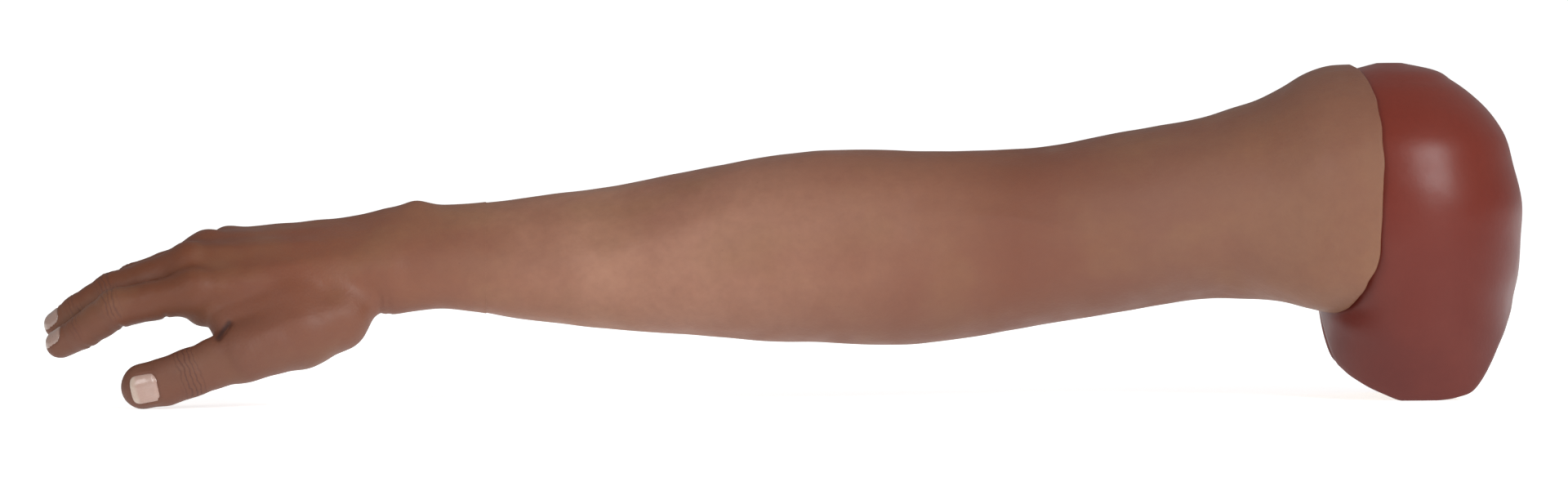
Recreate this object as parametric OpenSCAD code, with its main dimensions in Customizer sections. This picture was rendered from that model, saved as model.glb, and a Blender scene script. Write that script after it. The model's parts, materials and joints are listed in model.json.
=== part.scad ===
// Passive right arm prosthesis for loss at the shoulder, in millimetres.
// +X runs from the hand to the shoulder, +Z is the wearer's outer side, -Y the wearer's front.

/* [Skin and cap] */
// Thickness of the silicone skin on the arm
skin_t = 2.5; // [2:0.5:3.5]
// Thickness of the laminated cap wall
cap_wall = 4; // [3:0.5:5]
// Thickness of the foam liner in the cap
liner_t = 3; // [2:0.5:4]

/* [Frame] */
// Outer radius of the upper and forearm tubes
tube_r = 11; // [10:0.5:12]
// Wall of the tubes
tube_wall = 1.5; // [1:0.25:2]
// Radius of the hinge axles
axle_r = 4; // [3:0.5:5]
// Running clearance of a shaft in its bore
run_gap = 0.05; // [0.02:0.01:0.1]
// Radius of the bending wire in the fingers
wire_r = 1.25; // [1:0.25:1.5]
// Radius of the anchor bolts
bolt_r = 3; // [2.5:0.5:3]

/* [Display] */
// Which node to show

/* [Hidden] */

skin_color = [0.60, 0.43, 0.36];
nail_color = [0.74, 0.62, 0.58];
cap_color = [0.48, 0.20, 0.18];
foam_color = [0.85, 0.78, 0.68];
steel = [0.68, 0.69, 0.71];
alloy = [0.80, 0.81, 0.83];
dark = [0.25, 0.26, 0.28];

foam_gap = 0.2;
$fn = 48;

// ---- joint centres and axes ----
elbow = [55, 0, 77];
abduction = [200, 0, 96];
upper_tilt = atan2(abduction.z - elbow.z, abduction.x - elbow.x);
humerus = norm(abduction - elbow);
link_len = 22;
forearm_z = 76;
wrist_x = -186;

// ---- outline of the arm: x, centre y, centre z, half width across, half width along, roll ----
forearm_rows = [
    [-187, 0, 74.6, 31, 21.5, 45],
    [-157, 0, 74.3, 31, 22.5, 44],
    [-107, 0, 73.3, 37, 29, 48],
    [-57, 0, 74.8, 43, 36, 55],
    [-7, 0, 77.3, 47, 42, 75],
    [20, 0, 78.3, 49, 43, 90],
    [52, 0, 77.7, 49.5, 43, 90]];
upper_rows = [
    [58, 0, 77.6, 49.5, 43, 90],
    [92, 0, 78.8, 47.6, 43, 90],
    [117, 0, 81, 45.5, 45, 90],
    [142, 0, 84.4, 45, 47, 90],
    [191, 0, 92.7, 45.3, 49, 90],
    [216, 0, 97.3, 46, 51, 90]];
// flared end of the skin: x, centre z, half height, half depth
sleeve_rows = [
    [216, 95.9, 47, 51],
    [228, 98.6, 48.4, 52.4],
    [241, 100.3, 50.4, 54.5],
    [254, 103.3, 54.6, 59],
    [266, 104.9, 59.5, 63.8],
    [278, 105.5, 62.4, 67.5],
    [290, 105.6, 62.9, 70],
    [303, 105.5, 62.8, 71.6]];
// its free edge: elevation round the section in degrees, x
edge_rows = [
    [-90, 270.5], [-72, 279], [-47, 289], [-31, 294.5], [-20, 298.3], [-4, 300.6],
    [15, 301.8], [36, 301], [54, 297.7], [75, 291.5], [90, 286.5]];
// the palm has a thumb side reach and a little finger side reach: x, y, z, thumb, little, thick, roll
palm_rows = [
    [-189, 0, 74.3, 31, 31, 21.5, 45],
    [-205, 0, 71.5, 34, 32, 19, 43],
    [-222, 0, 68.5, 46, 36, 17, 41],
    [-240, 0, 66, 54, 39, 16, 39],
    [-256, 0, 65, 57, 40, 15.5, 38],
    [-260, 0, 65.5, 38, 40, 15, 38],
    [-277, 0, 68, 33, 36, 14, 38]];
knuckle_slope = 0.3;

// ---- fingers: base joint, middle joint, end joint, tip centre, radii at each ----
fingers = [
    ["index", [-297, -24, 58.6], [-337, -22.5, 50.5], [-354, -15, 39.5], [-366.5, -9, 32.5],
        [9.4, 9.6, 8.6, 7.4]],
    ["middle", [-300, -10, 71.5], [-340, -3, 58], [-357, 3, 48], [-368.5, 8, 41.5],
        [9.4, 9.6, 8.4, 7.2]],
    ["ring", [-292, 8, 77], [-330, 20, 62], [-347, 28, 47], [-358, 31, 36], [8.9, 8.4, 7.8, 6.8]],
    ["little", [-281, 25, 79], [-311, 36, 69], [-328, 42, 61], [-342, 46, 53], [8, 7.4, 6.8, 6]]];
thumb = ["thumb", [-272, -36, 28.6], [-299, -40, 18.5], [-312, -39, 14.5], [-322, -38, 11.4],
    [13, 12, 11.8, 11.4]];
// radii of a fingertip's last rings, as a share of the tip radius, and how far they lie ahead
tip_rings = [[1, 0], [0.88, 0.48], [0.6, 0.8], [0.25, 0.97]];

// ---- cap outline: height, nearest x, furthest x, half depth ----
cap_rows = [
    [-4, 272, 369, 54],
    [10, 272, 369, 59],
    [26, 272, 369, 63],
    [38, 272, 369, 64.5],
    [48, 274, 369.8, 64.5],
    [62, 265, 372.8, 66],
    [80, 254.5, 374.2, 69],
    [98, 250.5, 375, 69.3],
    [116, 250.5, 371, 66.6],
    [135, 253.5, 365, 59.8],
    [150, 262.5, 353, 46.5],
    [160, 277, 340, 32.8],
    [166, 290, 329, 19.5],
    [169.2, 302, 314, 7]];
cap_top = 169.2;
// height of the rim along x: the front and rear wings hang lower than the two open sides;
// below zero it is cut level, so that the hood stands on two flats
rim_rows = [
    [271.9, 44],
    [273, 37],
    [275.7, 26.5],
    [278.2, 19.8],
    [282.3, 15],
    [290.6, 9],
    [303, 3],
    [311, 0],
    [320, -0.5],
    [330, 0],
    [340.3, 1.5],
    [348.6, 5],
    [352.7, 10],
    [357.7, 18.8],
    [361, 25.8],
    [365.1, 34],
    [369.1, 45]];
// a shallow hollow in each wing, where the lower corner of the skin's free edge lies
hollow_x = 277;
hollow_z = 48;
hollow_reach = 15;
hollow_rise = 9;
hollow_depth = 0.13;

// ---- smooth interpolation through rows of stations ----
function station(rows, x, i = 0) =
    i >= len(rows) - 2 || (x - rows[i + 1][0]) * sign(rows[1][0] - rows[0][0]) < 0
        ? i : station(rows, x, i + 1);
function slope(rows, i, j) =
    let (a = max(0, i - 1), b = min(len(rows) - 1, i + 1))
    (rows[b][j] - rows[a][j]) / (rows[b][0] - rows[a][0]);
function blend_rows(rows, x, j) =
    let (i = station(rows, x), h = rows[i + 1][0] - rows[i][0], t = (x - rows[i][0]) / h)
    (2 * t^3 - 3 * t^2 + 1) * rows[i][j] + (t^3 - 2 * t^2 + t) * h * slope(rows, i, j)
        + (3 * t^2 - 2 * t^3) * rows[i + 1][j] + (t^3 - t^2) * h * slope(rows, i + 1, j);

// ---- closed meshes from rings of points ----
function side_faces(rings, n, first, flip) = [
    for (r = [0 : rings - 2], k = [0 : n - 1])
        let (a = first + r * n + k, b = first + r * n + (k + 1) % n, c = b + n, d = a + n)
        each flip ? [[a, c, b], [a, d, c]] : [[a, b, c], [a, c, d]]];
function annulus_faces(a0, b0, n, flip) = [
    for (k = [0 : n - 1])
        let (a = a0 + k, b = a0 + (k + 1) % n, c = b0 + (k + 1) % n, d = b0 + k)
        each flip ? [[a, c, b], [a, d, c]] : [[a, b, c], [a, c, d]]];
function cap_face(first, n, flip) =
    [flip ? [for (k = [n - 1 : -1 : 0]) first + k] : [for (k = [0 : n - 1]) first + k]];

// a solid through one list of rings, closed at both ends
module solid_loft(rings, flip = false) {
    n = len(rings[0]);
    m = len(rings);
    polyhedron([for (r = rings) each r], concat(side_faces(m, n, 0, flip),
        cap_face(0, n, !flip), cap_face((m - 1) * n, n, flip)), 10);
}

// a shell between outer and inner rings, open at both ends or closed at the far end
module shell_loft(outer, inner, open_end = true, flip = false) {
    n = len(outer[0]);
    m = len(outer);
    p = len(inner);
    last = (m - 1) * n;
    inner_0 = m * n;
    inner_last = inner_0 + (p - 1) * n;
    ends = open_end ? annulus_faces(last, inner_last, n, flip)
        : concat(cap_face(last, n, flip), cap_face(inner_last, n, !flip));
    polyhedron([for (r = concat(outer, inner)) each r], concat(side_faces(m, n, 0, flip),
        side_faces(p, n, inner_0, !flip), annulus_faces(0, inner_0, n, !flip), ends), 10);
}

// ---- arm rings; the front half of a ring slants away from a hinge by slant times its depth ----
arm_n = 28;
function arm_ring(rows, x, inset, slant = 0) = [
    for (k = [0 : arm_n - 1])
        let (t = 360 * k / arm_n, roll = blend_rows(rows, x, 5),
            a = blend_rows(rows, x, 3) - inset, b = blend_rows(rows, x, 4) - inset,
            y = a * cos(t) * cos(roll) - b * sin(t) * sin(roll),
            z = a * cos(t) * sin(roll) + b * sin(t) * cos(roll))
        [x + slant * max(0, -y), blend_rows(rows, x, 1) + y, blend_rows(rows, x, 2) + z]];
function tube_ring(x, z, r, slant = 0) = [
    for (k = [0 : arm_n - 1])
        let (t = 360 * k / arm_n + 90, y = r * cos(t))
        [x + slant * max(0, -y), y, z + r * sin(t)]];
function upper_axis_z(x) = elbow.z + (x - elbow.x) * tan(upper_tilt);
function steps(a, b, count) = [for (i = [0 : count]) a + (b - a) * i / count];
// slant fades from its full value at the hinge to nothing over the given stretch
function fade(x, hinge_x, reach, full) = full * max(0, 1 - abs(x - hinge_x) / reach);

forearm_notch = -1.12;
elbow_notch = 0.88;

// a foam uses the skin's own stations, so that it lies inside the skin all along
forearm_foam_xs = concat(steps(-160, -10, 8), [10, 19]);
forearm_xs = concat([wrist_x], forearm_foam_xs, [30, 41, 52]);
forearm_end = 52;
forearm_reach = 80;
elbow_foam_xs = [81, 92.5, 104];
elbow_xs = concat([58, 69.5], elbow_foam_xs);
elbow_start = 58;
elbow_reach = 46;
housing_bore = 22;
upper_foam_xs = [118, 138, 158];
upper_xs = concat([112], upper_foam_xs, [178, 198]);

function forearm_slant(x) = fade(x, forearm_end, forearm_reach, forearm_notch);
function elbow_slant(x) = fade(x, elbow_start, elbow_reach, elbow_notch);

module forearm_skin() {
    color(skin_color) shell_loft(
        [for (x = forearm_xs) arm_ring(forearm_rows, x, 0, forearm_slant(x))],
        [for (x = forearm_xs) arm_ring(forearm_rows, x, skin_t, forearm_slant(x))]);
}

module forearm_foam() {
    color(foam_color) shell_loft(
        [for (x = forearm_foam_xs) arm_ring(forearm_rows, x, skin_t + foam_gap, forearm_slant(x))],
        [for (x = forearm_foam_xs) tube_ring(x, forearm_z, tube_r + 1, forearm_slant(x))]);
}

module elbow_skin() {
    color(skin_color) shell_loft(
        [for (x = elbow_xs) arm_ring(upper_rows, x, 0, elbow_slant(x))],
        [for (x = elbow_xs) arm_ring(upper_rows, x, skin_t, elbow_slant(x))]);
}

module elbow_foam() {
    color(foam_color) shell_loft(
        [for (x = elbow_foam_xs) arm_ring(upper_rows, x, skin_t + foam_gap, elbow_slant(x))],
        [for (x = elbow_foam_xs) tube_ring(x, upper_axis_z(x), housing_bore, elbow_slant(x))]);
}

module upper_skin() {
    color(skin_color) shell_loft([for (x = upper_xs) arm_ring(upper_rows, x, 0)],
        [for (x = upper_xs) arm_ring(upper_rows, x, skin_t)]);
}

module upper_foam() {
    color(foam_color) shell_loft(
        [for (x = upper_foam_xs) arm_ring(upper_rows, x, skin_t + foam_gap)],
        [for (x = upper_foam_xs) tube_ring(x, upper_axis_z(x), tube_r + 1.5)]);
}

// the flared end of the skin, over the cap; its lower half is squarer, to pass round the cap
sleeve_start = 236;
sleeve_t = 2;
sleeve_n = 48;
square_from = 222;
square_to = 268;
square_power = 4;
function ease(v) = let (t = min(1, max(0, v))) t * t * (3 - 2 * t);
function sleeve_power(x) = 2 + (square_power - 2) * ease((x - square_from) / (square_to - square_from));
function sleeve_ring(share, inset) = [
    for (k = [0 : sleeve_n - 1])
        let (t = 360 * (k + 0.5) / sleeve_n,
            x = sleeve_start + (blend_rows(edge_rows, asin(sin(t)), 1) - sleeve_start) * share,
            e = sin(t) < 0 ? 2 / sleeve_power(x) : 1,
            a = blend_rows(sleeve_rows, x, 2) - inset, b = blend_rows(sleeve_rows, x, 3) - inset)
        [x, b * power(cos(t), e), blend_rows(sleeve_rows, x, 1) + a * power(sin(t), e)]];

module sleeve_edge() {
    shares = steps(0, 1, 6);
    color(skin_color) shell_loft([for (v = shares) sleeve_ring(v, 0)],
        [for (v = shares) sleeve_ring(v, sleeve_t)]);
}

// ---- shoulder cap ----
cap_n = 40;
function power(v, e) = sign(v) * pow(abs(v), e);
cap_squareness = 0.92;
rim_mid = 320.5;
rim_half = 48.5;
function rim_height(t) =
    max(0, blend_rows(rim_rows, rim_mid + rim_half * power(cos(t), cap_squareness), 1));
function hollow(x, z) =
    1 - hollow_depth * exp(-pow((x - hollow_x) / hollow_reach, 2) - pow((z - hollow_z) / hollow_rise, 2));
function cap_point(t, z) =
    let (near = blend_rows(cap_rows, z, 1), far = blend_rows(cap_rows, z, 2),
        x = (near + far) / 2 + (far - near) / 2 * power(cos(t), cap_squareness))
    [x, blend_rows(cap_rows, z, 3) * power(sin(t), cap_squareness) * hollow(x, z), z];
cap_levels = [0, 0.06, 0.12, 0.18, 0.24, 0.3, 0.38, 0.46, 0.54, 0.62, 0.7, 0.78, 0.85, 0.91, 0.96, 1];
function cap_ring(level, inset, lift = 0) = [
    for (k = [0 : cap_n - 1])
        let (t = 360 * k / cap_n, low = rim_height(t) + lift,
            p = cap_point(t, low + (cap_top - low) * level),
            q = cap_core + (p - cap_core) * (1 - inset / norm(p - cap_core)),
            drop = pow(max(0, p.z - cap_core.z) / (cap_top - cap_core.z), 2))
        [q.x, q.y, p.z - inset * drop]];
// the middle of the hood, which its inner surface is drawn in towards
cap_core = [312, 0, 60];

module cap_body(inset, wall, lift) {
    shell_loft([for (v = cap_levels) cap_ring(v, inset, lift)],
        [for (v = cap_levels) cap_ring(v, inset + wall, lift)], false, true);
}

module cap_shell() {
    color(cap_color) difference() {
        cap_body(0, cap_wall, 0);
        bolt_places() cylinder(r = bolt_r + 0.2, h = 60, center = true, $fn = 24);
    }
}

liner_gap = 2.2;
liner_lift = 3;
module cap_liner() {
    color(foam_color) difference() {
        cap_body(cap_wall + liner_gap, liner_t, liner_lift);
        bolt_places() cylinder(r = 9, h = 60, center = true, $fn = 24);
    }
}

// ---- shoulder mechanism, along the line from the elbow to the shoulder ----
module along_upper(s) {
    translate(elbow) rotate([0, -upper_tilt, 0]) translate([s, 0, 0]) children();
}
module lying(r, from, to, fn = 48) {
    translate([from, 0, 0]) rotate([0, 90, 0]) cylinder(r = r, h = to - from, $fn = fn);
}
bolt_square = 40;
module bolt_places() {
    along_upper(plate_s) for (y = [-1, 1], z = [-1, 1])
        translate([0, y * bolt_square / 2, z * bolt_square / 2]) rotate([0, 90, 0]) children();
}
ear_r = 10;
ear_in = 9;
ear_out = 14;
flexion_s = humerus + link_len;
yoke_s = flexion_s + 14;
plate_s = yoke_s + 6;
plate_t = 4;
block_end = plate_s + plate_t + 12;
bolt_len = 27;
nut_seat = 18.7;
nut_step = 1.35;

// two ears and a base plate; the ears stand along local z
module clevis(axis_s, base_s, base_end, base_r) {
    difference() {
        union() {
            for (side = [-1, 1]) {
                translate([axis_s, 0, side * (ear_in + ear_out) / 2])
                    cylinder(r = ear_r, h = ear_out - ear_in, center = true);
                translate([(axis_s + base_s) / 2, 0, side * (ear_in + ear_out) / 2])
                    cube([abs(base_s - axis_s) + 0.2, 2 * ear_r, ear_out - ear_in], center = true);
            }
            lying(base_r, min(base_s, base_end), max(base_s, base_end));
        }
        translate([axis_s, 0, 0]) cylinder(r = axle_r, h = 60, center = true);
    }
}

module shoulder_yoke() {
    color(steel) along_upper(0) clevis(flexion_s, yoke_s, plate_s, 20);
}

module anchor_plate() {
    color(steel) difference() {
        along_upper(plate_s + plate_t / 2) cube([plate_t, 56, 56], center = true);
        bolt_places() cylinder(r = bolt_r + 0.2, h = 40, center = true, $fn = 24);
    }
}

module mounting_block() {
    color(cap_color) difference() {
        along_upper(0) lying(36, plate_s + plate_t, block_end);
        cap_fill();
        bolt_places() cylinder(r = bolt_r + 0.2, h = 60, center = true, $fn = 24);
    }
}

// everything inside the outer surface of the cap, so that the block seats on the wall
module cap_fill() {
    solid_loft([for (v = cap_levels) cap_ring(v, -0.1)], true);
}

module anchor_bolts() {
    color(steel) bolt_places() union() {
        translate([0, 0, -3.5]) cylinder(r = 5, h = 3.4, $fn = 6);
        translate([0, 0, -0.2]) cylinder(r = bolt_r, h = bolt_len, $fn = 24);
    }
}

// the nuts seat on the inside of the cap wall, which is nearer for the lower pair
module anchor_nuts() {
    color(steel) along_upper(plate_s) for (y = [-1, 1], z = [-1, 1])
        translate([nut_seat + z * nut_step, y * bolt_square / 2, z * bolt_square / 2])
            rotate([0, 90, 0]) difference() {
                cylinder(r = 5.6, h = 4.5, $fn = 6);
                translate([0, 0, -1]) cylinder(r = bolt_r + 0.05, h = 8, $fn = 24);
            }
}

module shoulder_link() {
    color(dark) along_upper(0) difference() {
        union() {
            translate([flexion_s, 0, 0]) cylinder(r = 9, h = 2 * ear_in - 0.4, center = true);
            translate([humerus, 0, 0]) rotate([90, 0, 0])
                cylinder(r = 9, h = 2 * ear_in - 0.4, center = true);
            translate([humerus + link_len / 2, 0, 0]) cube([link_len, 15, 15], center = true);
        }
        translate([flexion_s, 0, 0]) cylinder(r = axle_r + run_gap, h = 60, center = true);
        translate([humerus, 0, 0]) rotate([90, 0, 0])
            cylinder(r = axle_r + run_gap, h = 60, center = true);
    }
}

module flexion_axle() {
    color(steel) along_upper(flexion_s) cylinder(r = axle_r, h = 2 * ear_out, center = true);
}

module abduction_fork() {
    color(steel) along_upper(0) rotate([90, 0, 0]) clevis(humerus, humerus - 14, humerus - 20, 16);
}

module abduction_axle() {
    color(steel) along_upper(humerus) rotate([90, 0, 0])
        cylinder(r = axle_r, h = 2 * ear_out, center = true);
}

clamp_s = humerus - 20;
clamp_len = 18;
module upper_clamp() {
    color(alloy) along_upper(0) difference() {
        union() {
            lying(16, clamp_s - clamp_len, clamp_s);
            translate([clamp_s - clamp_len / 2, 0, -17]) cube([12, 14, 10], center = true);
        }
        lying(tube_r + 0.02, clamp_s - clamp_len - 1, clamp_s - 3);
        translate([clamp_s - clamp_len / 2 - 1, 0, -17]) cube([clamp_len + 4, 1.6, 14], center = true);
        translate([clamp_s - clamp_len / 2, 0, -18.5]) rotate([90, 0, 0])
            cylinder(r = 2, h = 40, center = true, $fn = 24);
    }
}

module clamp_screw() {
    color(steel) along_upper(clamp_s - clamp_len / 2) translate([0, 0, -18.5]) rotate([90, 0, 0]) union() {
        cylinder(r = 1.95, h = 14, center = true, $fn = 24);
        translate([0, 0, 7]) cylinder(r = 3.2, h = 3, $fn = 24);
    }
}

turntable_s = 51;
module upper_tube() {
    color(alloy) along_upper(0) difference() {
        lying(tube_r, turntable_s + 6, clamp_s - 3);
        lying(tube_r - tube_wall, turntable_s + 5, clamp_s);
    }
}

// ---- elbow ----
lug_half = 8.6;
housing_s = 20;
module turntable_plate() {
    color(alloy) along_upper(0) difference() {
        union() {
            lying(20, turntable_s, turntable_s + 6);
            lying(tube_r - tube_wall - 0.02, turntable_s + 5, turntable_s + 20);
        }
        lying(5 + run_gap, turntable_s - 1, turntable_s + 22);
    }
}

module turntable_pin() {
    color(steel) along_upper(0) lying(5, turntable_s - 12, turntable_s + 20);
}

module elbow_housing() {
    color(dark) difference() {
        union() {
            along_upper(0) lying(20, housing_s, turntable_s - 0.3);
            translate(elbow) cylinder(r = 10, h = 2 * lug_half, center = true);
            along_upper(housing_s / 2) cube([housing_s + 2, 20, 2 * lug_half - 3], center = true);
        }
        along_upper(0) lying(5.02, turntable_s - 12, turntable_s + 1);
        translate(elbow) cylinder(r = axle_r + run_gap, h = 60, center = true);
    }
}

module elbow_axle() {
    color(steel) translate(elbow) cylinder(r = axle_r, h = 2 * ear_out, center = true);
}

lever_end = 25;
module forearm_lever() {
    color(steel) union() {
        translate([0, 0, elbow.z]) clevis(elbow.x, lever_end + 6, lever_end, 17);
        translate([0, 0, forearm_z]) lying(tube_r - tube_wall - 0.02, lever_end - 18, lever_end + 1);
    }
}

module forearm_tube() {
    color(alloy) translate([0, 0, forearm_z]) difference() {
        lying(tube_r, -160, lever_end);
        lying(tube_r - tube_wall, -161, lever_end + 1);
    }
}

// ---- wrist and hand ----
stud_r = 6;
module wrist_unit() {
    color(dark) translate([0, 0, forearm_z]) difference() {
        union() {
            lying(17, wrist_x + 1, -160);
            lying(tube_r - tube_wall - 0.02, -160.5, -146);
        }
        lying(stud_r + run_gap, wrist_x, -168);
    }
}

module wrist_stud() {
    color(steel) translate([0, 0, forearm_z]) union() {
        lying(stud_r, wrist_x - 4, -169);
        lying(15, wrist_x - 6, wrist_x - 1);
    }
}

palm_roll = 38;
plate_from = -266;
plate_to = -206;
plate_z = 66.5;
module hand_plate() {
    color(alloy) union() {
        translate([(plate_from + plate_to) / 2, 0, plate_z]) rotate([palm_roll, 0, 0])
            cube([plate_to - plate_from, 42, 3], center = true);
        translate([0, 0, 72]) lying(6, plate_to - 4, wrist_x - 6);
    }
}

function palm_ring(x, inset, slope_here = 0) = [
    for (k = [0 : arm_n - 1])
        let (t = 360 * k / arm_n, roll = blend_rows(palm_rows, x, 6),
            a = (cos(t) < 0 ? blend_rows(palm_rows, x, 3) : blend_rows(palm_rows, x, 4)) - inset,
            b = blend_rows(palm_rows, x, 5) - inset,
            y = a * cos(t) * cos(roll) - b * sin(t) * sin(roll),
            z = a * cos(t) * sin(roll) + b * sin(t) * cos(roll))
        [x + slope_here * y, y, blend_rows(palm_rows, x, 2) + z]];
// room for the plate and its stem: x, centre z, half width, half height
channel_rows = [[-194, 72.5, 17, 17], [-204, 70.5, 26, 12], [-212, 68.5, 26, 8],
    [-222, plate_z, 25, 6], [-268, plate_z, 25, 6]];
function channel_ring(row) = [
    for (k = [0 : arm_n - 1])
        let (t = 360 * k / arm_n, y = row[2] * cos(t), z = row[3] * sin(t))
        [row[0], y * cos(palm_roll) - z * sin(palm_roll),
            row[1] + y * sin(palm_roll) + z * cos(palm_roll)]];
function knuckle_slant(x) = x < -262 ? knuckle_slope * (-262 - x) / 15 : 0;
palm_t = 3;
palm_xs = [-189, -197, -205, -214, -222, -231, -240, -249, -256, -260, -268, -277];

module palm_skin() {
    inner_xs = [-189, -205, -222, -240, -256, -260, -272];
    color(skin_color) shell_loft(
        [for (x = palm_xs) palm_ring(x, 0, knuckle_slant(x))],
        [for (x = inner_xs) palm_ring(x, palm_t, knuckle_slant(x))],
        false, true);
}

module palm_foam() {
    outer_xs = [-194, -205, -222, -240, -256, -260, -270.5];
    color(foam_color) shell_loft(
        [for (x = outer_xs) palm_ring(x, palm_t + 0.5, knuckle_slant(x))],
        [for (row = channel_rows) channel_ring(row)],
        false, true);
}

// ---- fingers ----
function unit(v) = v / norm(v);
// ring across a finger at p: the finger runs along d, s points sideways, slant shifts the palm side
finger_n = 14;
function finger_ring(p, d, s, r, slant = 0) =
    let (e = unit(d), side = unit(s - e * (s * e)), up = cross(side, e))
    [for (k = [0 : finger_n - 1])
        let (t = 360 * k / finger_n, depth = r * sin(t))
        p + side * r * cos(t) + up * depth + e * slant * (depth > 0 ? depth : -0.35 * depth)];

bend_gap = 1.2;
palm_side_slant = 0.55;
wire_room = wire_r + 0.2;

// silicone from the base joint to the middle joint, with a rounded root and a bore for the wire
module finger_base(f, s) {
    d = f[2] - f[1];
    e = unit(d);
    len = norm(d);
    r0 = f[5][0];
    r1 = f[5][1];
    outer = concat(
        [for (a = [-62, -35, 0]) finger_ring(f[1] + e * r0 * sin(a), d, s, r0 * cos(a))],
        [for (t = [0.35, 0.65]) finger_ring(f[1] + d * t, d, s, r0 + (r1 - r0) * t)],
        [finger_ring(f[1] + e * (len - bend_gap), d, s, r1, -palm_side_slant)]);
    inner = [finger_ring(f[1] - e * r0 * sin(62), d, s, wire_room),
        finger_ring(f[1] + e * (len - bend_gap), d, s, wire_room, -palm_side_slant)];
    color(skin_color) shell_loft(outer, inner, true, true);
}

// silicone from the middle joint past the end joint to the tip
module finger_end(f, s) {
    d = f[3] - f[2];
    e = unit(d);
    tip_d = f[4] - f[3];
    tip_e = unit(tip_d);
    r = f[5];
    outer = concat(
        [finger_ring(f[2] + e * bend_gap, d, s, r[1], palm_side_slant),
            finger_ring(f[2] + d * 0.6, d, s, r[1] + (r[2] - r[1]) * 0.6),
            finger_ring(f[3], unit(e + tip_e), s, r[2])],
        [for (q = tip_rings) finger_ring(f[4] + tip_e * r[3] * q[1], tip_d, s, r[3] * q[0])]);
    inner = [finger_ring(f[2] + e * bend_gap, d, s, wire_room, palm_side_slant),
        finger_ring(f[2] + d * 0.95, d, s, wire_room)];
    color(skin_color) shell_loft(outer, inner, false, true);
}

// a straight rod from a to b
module rod(a, b, r) {
    d = b - a;
    translate(a) rotate([0, acos(d.z / norm(d)), atan2(d.y, d.x)]) cylinder(r = r, h = norm(d), $fn = 24);
}

module base_wire(f) {
    e = unit(f[2] - f[1]);
    color(steel) rod(f[1] - e * 5, f[2] - e * 2.2, wire_r);
}

module end_wire(f) {
    d = f[3] - f[2];
    color(steel) rod(f[2] + unit(d) * 2.2, f[2] + d * 0.9, wire_r);
}

// the end of a plate whose ring runs along one side and back along the other
function strip_faces(first, n, flip) = [
    for (k = [0 : n / 2 - 2])
        let (a = first + k, b = a + 1, c = first + n - 2 - k, d = c + 1)
        each flip ? [[a, c, b], [a, d, c]] : [[a, b, c], [a, c, d]]];

// a curved plate on the back of the end length, from the tip towards the end joint
module nail(f, s, wide, long) {
    d = f[4] - f[3];
    e = unit(d);
    side = unit(s - e * (s * e));
    up = -cross(side, e);
    r = f[5][3] + 0.25;
    count = 15;
    nail_t = 0.6;
    mid = f[4] + e * 1.5;
    rows_of = [for (x = [-0.5, 0, 0.5]) [for (rr = [r, r + nail_t])
        [for (k = [0 : count - 1])
            let (t = (k / (count - 1) - 0.5) * wide / r * 180 / PI)
            mid + e * x * long + side * rr * sin(t) + up * rr * cos(t)]]];
    rings = [for (row = rows_of) concat(row[0], [for (k = [count - 1 : -1 : 0]) row[1][k]])];
    n = 2 * count;
    color(nail_color) polyhedron([for (r = rings) each r], concat(side_faces(3, n, 0, true),
        strip_faces(0, n, false), strip_faces(2 * n, n, true)), 10);
}

finger_side = [0, -cos(38), -sin(38)];
thumb_side = [0.34, 0, -0.94];

module wear_digit(name, part) {
    f = name == "thumb" ? thumb : [for (q = fingers) if (q[0] == name) q][0];
    s = name == "thumb" ? thumb_side : finger_side;
    if (part == "base") finger_base(f, s);
    if (part == "end") finger_end(f, s);
    if (part == "base_wire") base_wire(f);
    if (part == "end_wire") end_wire(f);
    if (part == "nail") nail(f, s, name == "thumb" ? 14 : 0.75 * 2 * f[5][3], name == "thumb" ? 14 : 10);
}

module digits(name) {
    for (part = ["base", "base_wire", "end", "end_wire", "nail"])
        wear_digit(name, part);
}

cap_shell();
cap_liner();
mounting_block();
anchor_plate();
anchor_bolts();
anchor_nuts();
shoulder_yoke();
sleeve_edge();
shoulder_link();
flexion_axle();
abduction_fork();
abduction_axle();
upper_clamp();
clamp_screw();
upper_tube();
upper_foam();
upper_skin();
turntable_plate();
turntable_pin();
elbow_housing();
elbow_foam();
elbow_skin();
forearm_lever();
elbow_axle();
forearm_tube();
wrist_unit();
forearm_foam();
forearm_skin();
wrist_stud();
hand_plate();
palm_foam();
palm_skin();
digits("thumb");
digits("index");
digits("middle");
digits("ring");
digits("little");
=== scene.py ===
import json
import math
import bpy
import numpy as np
from mathutils import Matrix, Vector


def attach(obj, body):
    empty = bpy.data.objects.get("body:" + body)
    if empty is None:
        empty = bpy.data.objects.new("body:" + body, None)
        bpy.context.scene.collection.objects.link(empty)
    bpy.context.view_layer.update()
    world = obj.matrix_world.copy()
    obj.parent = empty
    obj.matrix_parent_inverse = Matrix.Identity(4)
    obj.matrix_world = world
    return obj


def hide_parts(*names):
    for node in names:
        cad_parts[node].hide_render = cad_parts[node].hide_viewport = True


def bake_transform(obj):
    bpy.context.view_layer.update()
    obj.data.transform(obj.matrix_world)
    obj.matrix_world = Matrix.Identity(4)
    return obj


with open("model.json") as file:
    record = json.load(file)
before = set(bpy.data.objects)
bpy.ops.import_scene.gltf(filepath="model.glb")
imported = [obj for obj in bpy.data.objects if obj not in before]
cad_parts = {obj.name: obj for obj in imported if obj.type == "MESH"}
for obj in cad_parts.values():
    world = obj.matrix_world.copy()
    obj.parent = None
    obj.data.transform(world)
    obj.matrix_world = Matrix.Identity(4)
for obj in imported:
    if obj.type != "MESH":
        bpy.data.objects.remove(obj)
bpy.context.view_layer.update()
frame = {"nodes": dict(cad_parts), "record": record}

MM = 0.001
record = frame["record"]
joints = {j["name"]: j for j in record["behaviour"]["joints"]}


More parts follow.
